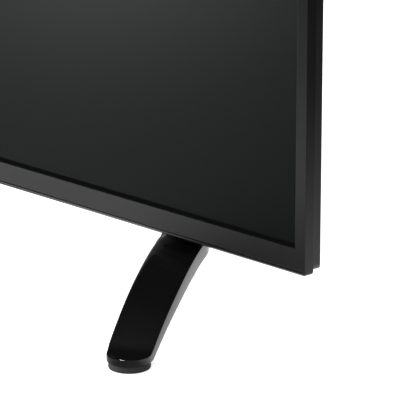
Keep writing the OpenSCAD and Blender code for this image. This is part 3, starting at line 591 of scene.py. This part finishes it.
def upper_loop(outline, turn):
    """A loop on the upper edge's rounding, from the wall at no turn to the upper face at a quarter turn."""
    loop = []
    for point, inward, leg, left in outline:
        radius = leg.upper_radius(point, left)
        spot = point + inward * (radius * (1 - math.cos(turn)))
        loop.append(Vector((spot.x, spot.y, leg.top(spot) + radius * (math.sin(turn) - 1))))
    return loop


def add_face(stations, loop, first, height, vertices, faces):
    """Fills a loop, whose first vertex has the number first, with lanes at the height of the leg's face."""
    rows = []
    for i, (_, leg) in enumerate(stations):
        j = len(loop) - 1 - i
        row = [first + i]
        for lane in range(1, LANES):
            spot = loop[i].lerp(loop[j], lane / LANES)
            row.append(len(vertices))
            vertices.append(Vector((spot.x, spot.y, height(leg, spot.xy))))
        row.append(first + j)
        rows.append(row)
    for near, far in zip(rows, rows[1:]):
        faces.extend(zip(near, near[1:], far[1:], far))
    faces.append(tuple(rows[0]))
    faces.append(tuple(reversed(rows[-1])))


def add_toe(leg, vertices, faces):
    """The round block under a leg's end, which stands on the pad."""
    toe_r = leg.tip_r - TOE_INSET
    profile = [(toe_r - TOE_EASE, PAD_T), (toe_r - TOE_EASE_MIDDLE, PAD_T + TOE_EASE_MIDDLE),
               (toe_r, PAD_T + TOE_EASE), (toe_r, leg.under(leg.tip) + TOE_SUNK)]
    lathe(profile, (leg.tip.x, leg.tip.y, 0), vertices, faces)


def add_neck(vertices, faces):
    """The block with rounded corners on top of the hub."""
    loops = []
    for corner_r, height in ((NECK_CORNER_R, HUB_TOP - NECK_SUNK), (NECK_CORNER_R, NECK_TOP - NECK_EASE),
                             (NECK_CORNER_R - NECK_EASE, NECK_TOP)):
        loop = []
        for begin, sx, sy in ((0, 1, 1), (90, -1, 1), (180, -1, -1), (270, 1, -1)):
            for step in range(NECK_STEPS + 1):
                corner = Vector((sx * NECK_HALF_W, sy * NECK_HALF_D))
                spot = ROOT + corner + corner_r * facing(begin + 90 * step / NECK_STEPS)
                loop.append(Vector((spot.x, spot.y, height)))
        loops.append(loop)
    add_tube(loops, vertices, faces)


def foot_mesh(name, side, material):
    """The foot as one moulding: walls, rounded upper edges, eased lower edges, hub, toes and neck."""
    stations = foot_stations()
    outline = foot_outline(stations)
    loops = [lower_loop(outline, turn) for turn in quarter_turns(LOWER_STEPS)]
    loops += [upper_loop(outline, turn) for turn in quarter_turns(UPPER_STEPS)]
    vertices = [point for loop in loops for point in loop]
    faces = skin_loops(loops, 0)
    first_of_top = len(vertices) - len(outline)
    add_face(stations, loops[0], 0, Leg.under, vertices, faces)
    add_face(stations, loops[-1], first_of_top, Leg.top, vertices, faces)
    for leg in (FRONT_LEG, REAR_LEG):
        add_toe(leg, vertices, faces)
    add_neck(vertices, faces)
    placed = [Vector((side * v.x * MM, v.y * MM, v.z * MM)) for v in vertices]
    return mesh_object(name, placed, faces, material)


def pads_mesh(material):
    """Rubber pads with eased rims and a ring groove underneath."""
    vertices, faces = [], []
    ease_in, ease_down = PAD_UPPER_EASE
    profile = [(PAD_R - ease_in, PAD_T), (PAD_R, PAD_T - ease_down), (PAD_R, PAD_LOWER_EASE),
               (PAD_R - PAD_LOWER_EASE_MIDDLE, PAD_LOWER_EASE_MIDDLE), (PAD_R - PAD_LOWER_EASE, 0.0),
               (GROOVE_OUTER_R, 0.0), (GROOVE_OUTER_R - GROOVE_SLANT, GROOVE_DEPTH),
               (GROOVE_INNER_R + GROOVE_SLANT, GROOVE_DEPTH), (GROOVE_INNER_R, 0.0)]
    scaled = [(radius * MM, height * MM) for radius, height in profile]
    for side in (-1, 1):
        for leg in (FRONT_LEG, REAR_LEG):
            lathe(scaled, (side * leg.tip.x * MM, leg.tip.y * MM, 0), vertices, faces)
    return mesh_object("foot_pad_rubbers", vertices, faces, material)


feet = []
for label, side in (("right", 1), ("left", -1)):
    foot = foot_mesh("foot_moulding_" + label, side, finishes["foot_black"])
    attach(foot, "cabinet")
    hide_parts("foot_" + label)
    feet.append(foot)
pads = pads_mesh(finishes["pad_rubber"])
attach(pads, "cabinet")
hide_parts("foot_pads")


# The cover screws, in millimetres; shares are of the head's radius or height

HEAD_R = 3.0
HEAD_H = 2.0
HEAD_RIM_SHARE = 0.55
HEAD_RINGS = (1.0, 0.97, 0.86, 0.72, 0.58, 0.46, 0.34, 0.22, 0.1)
SHANK_R = 1.5
SHANK_L = 10.0
RECESS_HALF_SHARE = 0.13
RECESS_REACH_SHARE = 0.6
RECESS_DEPTH_SHARE = 0.75
SCREW_STEPS = 32
SCREW_SMOOTH_ANGLE = 35
SCREW_FROM_SIDE = 35.0
SCREW_FROM_TOP = 45.0
SCREW_HEIGHTS = (75.0, 355.0)
SCREW_INNER_X = 160.0
COVER_BACK = round(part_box("cover_screws")[1][1] / MM, 2) - HEAD_H


def screw_spots():
    """Where the heads sit: three up each side and one near the middle of the top, on both halves."""
    spots = []
    high = CAB_HIGH - SCREW_FROM_TOP
    for side in (-1, 1):
        edge_x = side * (CAB_HALF - SCREW_FROM_SIDE)
        spots += [(edge_x, CAB_LOW + height) for height in SCREW_HEIGHTS]
        spots += [(edge_x, high), (side * SCREW_INNER_X, high)]
    return [Vector((x, COVER_BACK, z)) * MM for x, z in spots]


def head_height(share, turn):
    """Height of a domed head with a cross recess, at a share of its radius."""
    dome = HEAD_RIM_SHARE + (1 - HEAD_RIM_SHARE) * math.sqrt(max(1 - share * share, 0))
    from_cross = min(abs(share * math.cos(turn)), abs(share * math.sin(turn)))
    recessed = from_cross < RECESS_HALF_SHARE and share < RECESS_REACH_SHARE
    return HEAD_H * (dome - (RECESS_DEPTH_SHARE if recessed else 0.0))


def screw_heads(material):
    """Domed screw heads with a cross recess, each on its shank."""
    vertices, faces = [], []
    turns = full_turns(SCREW_STEPS)
    shank = SHANK_R / HEAD_R
    flat_rings = ((shank, -SHANK_L), (shank, 0.0), (1.0, 0.0))
    rings = [(share, [height] * SCREW_STEPS) for share, height in flat_rings]
    rings += [(share, [head_height(share, turn) for turn in turns]) for share in HEAD_RINGS]
    for seat in screw_spots():
        loops = []
        for share, heights in rings:
            reach = HEAD_R * share * MM
            loops.append([seat + BACKWARDS * (height * MM) + reach * spoke(BACKWARDS, turn)
                          for turn, height in zip(turns, heights)])
        add_tube(loops, vertices, faces)
    return mesh_object("cover_screw_heads", vertices, faces, material, SCREW_SMOOTH_ANGLE)


screws = screw_heads(finishes["screw_steel"])
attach(screws, "cabinet")
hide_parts("cover_screws")


# Floor and room, in metres

FLOOR_HALF = 14.0
FLOOR_TINT = (0.86, 0.86, 0.86, 1)
FLOOR_LIFT = 0.8

# What reflections see of the floor has light and shade painted in. A change is (start, end, brightness at the
# start, and at the end where that isn't full): away from the set, a painted falloff into darkness; out of two
# painted shadows near each foot; and out of the painted dark middle. The painted glow behind the set, which
# only reflections see, comes in between the two depths of GLOW_BEGINS.
SET_HALF = 0.48
FAR_FADE = (0.05, 0.85, 0.95, 0.03)
CORNER_SHADE_PLACE = (0.285, -0.165)
CORNER_SHADE = (0.06, 0.15, 0.03)
TOE_SHADE_PLACE = (0.425, -0.112)
TOE_SHADE = (0.025, 0.06, 0.22)
MIDDLE_SHADE = (0.08, 0.2, 0.08)
GLOW_BEGINS = (-0.10, -0.04)

# The room's light, and what reflections see of it from the horizon up
ROOM_LIGHT = 0.2
ROOM_FADE = (0.0, 0.45, 0.16, 0.02)


def floor_material():
    """A pale floor. Reflections see it lit, with painted shadows, in front of the set, a painted glow behind
    it, and a painted falloff to dark further away.
    """
    material, tree = new_material("studio_floor")
    tree.nodes.clear()
    path = add_node(tree, "ShaderNodeLightPath")
    pale = add_node(tree, "ShaderNodeBsdfDiffuse", Color=FLOOR_TINT)
    lift = add_node(tree, "ShaderNodeEmission", Color=WHITE)
    lifted = calculate(tree, "MULTIPLY", path.outputs["Is Camera Ray"], FLOOR_LIFT)
    feed(tree, lift.inputs["Strength"], lifted)
    plain = add_node(tree, "ShaderNodeAddShader")
    feed(tree, plain.inputs[0], pale.outputs["BSDF"])
    feed(tree, plain.inputs[1], lift.outputs["Emission"])

    x, y, _ = coordinates(tree, "Object")
    side = calculate(tree, "ABSOLUTE", x)
    beyond = calculate(tree, "MAXIMUM", calculate(tree, "SUBTRACT", side, SET_HALF), 0.0)
    painted_falloff = map_range(tree, distance_to(tree, beyond, y, (0, 0)), *FAR_FADE, easing="SMOOTHERSTEP")
    # Painted shade for reflections: the painted falloff, then a painted shadow near the front of each foot
    # and one in front of each toe
    bright = painted_falloff
    for place, shade in ((CORNER_SHADE_PLACE, CORNER_SHADE), (TOE_SHADE_PLACE, TOE_SHADE)):
        painted_shadow = map_range(tree, distance_to(tree, side, y, place), *shade)
        bright = calculate(tree, "MULTIPLY", bright, painted_shadow)
    lit = add_node(tree, "ShaderNodeBsdfDiffuse")
    feed(tree, lit.inputs["Color"], bright)
    # A painted glow: behind the set the floor shines for reflections though it is no lamp, painted dimmer
    # under the middle
    glow = add_node(tree, "ShaderNodeEmission", Color=WHITE)
    painted_glow_strength = calculate(tree, "MULTIPLY", painted_falloff, map_range(tree, side, *MIDDLE_SHADE))
    feed(tree, glow.inputs["Strength"], painted_glow_strength)
    behind = map_range(tree, y, *GLOW_BEGINS)
    mirrored = mix_shaders(tree, behind, lit.outputs["BSDF"], glow.outputs["Emission"])

    shown = mix_shaders(tree, path.outputs["Is Glossy Ray"], plain.outputs["Shader"], mirrored)
    out = add_node(tree, "ShaderNodeOutputMaterial")
    feed(tree, out.inputs["Surface"], shown)
    return material


def make_floor():
    corners = [(x * FLOOR_HALF, y * FLOOR_HALF, 0) for x, y in ((-1, -1), (1, -1), (1, 1), (-1, 1))]
    floor = mesh_object("floor", corners, [(0, 1, 2, 3)], floor_material())


def make_world():
    """White to the camera, a soft grey room for light, and dark above for reflections."""
    world = bpy.data.worlds.new("studio")
    bpy.context.scene.world = world
    world.use_nodes = True
    tree = world.node_tree
    tree.nodes.clear()
    path = add_node(tree, "ShaderNodeLightPath")
    room = add_node(tree, "ShaderNodeBackground", Color=WHITE, Strength=ROOM_LIGHT)
    white = add_node(tree, "ShaderNodeBackground", Color=WHITE, Strength=1.0)
    mirror = add_node(tree, "ShaderNodeBackground", Color=WHITE)
    _, _, height = coordinates(tree, "Generated")
    feed(tree, mirror.inputs["Strength"], map_range(tree, height, *ROOM_FADE))
    shine = mix_shaders(tree, path.outputs["Is Glossy Ray"],
                        room.outputs["Background"], mirror.outputs["Background"])
    shown = mix_shaders(tree, path.outputs["Is Camera Ray"], shine, white.outputs["Background"])
    out = add_node(tree, "ShaderNodeOutputWorld")
    feed(tree, out.inputs["Surface"], shown)


# Lamps, in metres and watts

def make_light(name, place, target, size, power, mirrored=False, only=(), soft=True):
    """A lamp of this width and height that faces its target.

    Reflections show it if it is mirrored, it lights only the pieces in only, if there are any, and soft lets
    it light dull faces.
    """
    lamp = bpy.data.lights.new(name, "AREA")
    lamp.shape = "RECTANGLE"
    lamp.size, lamp.size_y = size
    lamp.energy = power
    holder = bpy.data.objects.new(name, lamp)
    holder.location = place
    holder.rotation_euler = (Vector(target) - Vector(place)).to_track_quat("-Z", "Y").to_euler()
    holder.visible_camera = False
    holder.visible_glossy = mirrored
    holder.visible_diffuse = soft
    if only:
        lit = bpy.data.collections.new(name + "_shines_on")
        for piece in only:
            lit.objects.link(piece)
        holder.light_linking.receiver_collection = lit
    bpy.context.scene.collection.objects.link(holder)


def make_lights(whole_set):
    """Two soft boxes for all, and lamps that light the screen, the feet and the set alone."""
    make_light("left_softbox", place=(-1.5, -1.5, 0.75), target=(0.2, 0, 0.3), size=(1.4, 1.1), power=75)
    make_light("top_softbox", place=(0.4, -0.3, 2.6), target=(0.3, 0, 0), size=(2.4, 2.4), power=50)
    make_light("low_card", place=(-0.50, -0.72, 0.08), target=(0.27, 0, 0.30), size=(0.3, 0.22), power=2.3,
               mirrored=True, only=[nodes["lcd_panel"]])
    make_light("foot_card", place=(0.05, -0.87, 1.82), target=(0.39, -0.1, 0.01), size=(0.6, 0.25), power=40,
               mirrored=True, only=feet, soft=False)
    make_light("back_softbox", place=(-1.2, 2.4, 1.5), target=(0, 0.05, 0.3), size=(2.2, 1.6), power=160,
               mirrored=True, only=whole_set)


# The camera, in degrees and metres. The cabinet's lower right front corner lies at CORNER_PIXEL of the
# picture, and the distance is measured to it along the view.

CAMERA_TURN = 47.023
CAMERA_RISE = 15.54
CAMERA_DISTANCE = 1.75166
PICTURE_SIZE = 400
FOCAL_PIXELS = 2600.0
CORNER_PIXEL = (304.826, 277.4)
SENSOR_W = 36.0
CLIP_END = 100


def make_camera():
    """Looks at the lower right of the set."""
    turn = math.radians(CAMERA_TURN)
    rise = math.radians(CAMERA_RISE)
    back = Vector((math.sin(turn) * math.cos(rise), -math.cos(turn) * math.cos(rise), math.sin(rise)))
    right = Vector((math.cos(turn), math.sin(turn), 0))
    up = back.cross(right)
    corner = Vector((CAB_HALF * MM, 0, CAB_LOW * MM))
    across = (CORNER_PIXEL[0] - PICTURE_SIZE / 2) / FOCAL_PIXELS
    above = (PICTURE_SIZE / 2 - CORNER_PIXEL[1]) / FOCAL_PIXELS
    lens = bpy.data.cameras.new("camera")
    lens.sensor_width = SENSOR_W
    lens.lens = FOCAL_PIXELS * SENSOR_W / PICTURE_SIZE
    lens.clip_end = CLIP_END
    camera = bpy.data.objects.new("camera", lens)
    camera.location = corner - CAMERA_DISTANCE * (across * right + above * up - back)
    camera.rotation_euler = back.to_track_quat("Z", "Y").to_euler()
    bpy.context.scene.collection.objects.link(camera)
    bpy.context.scene.camera = camera


pieces_of_set = [piece for piece in bpy.data.objects if piece.type == "MESH"]
make_floor()
make_world()
make_lights(pieces_of_set)
make_camera()
bpy.context.scene.view_settings.view_transform = "Standard"
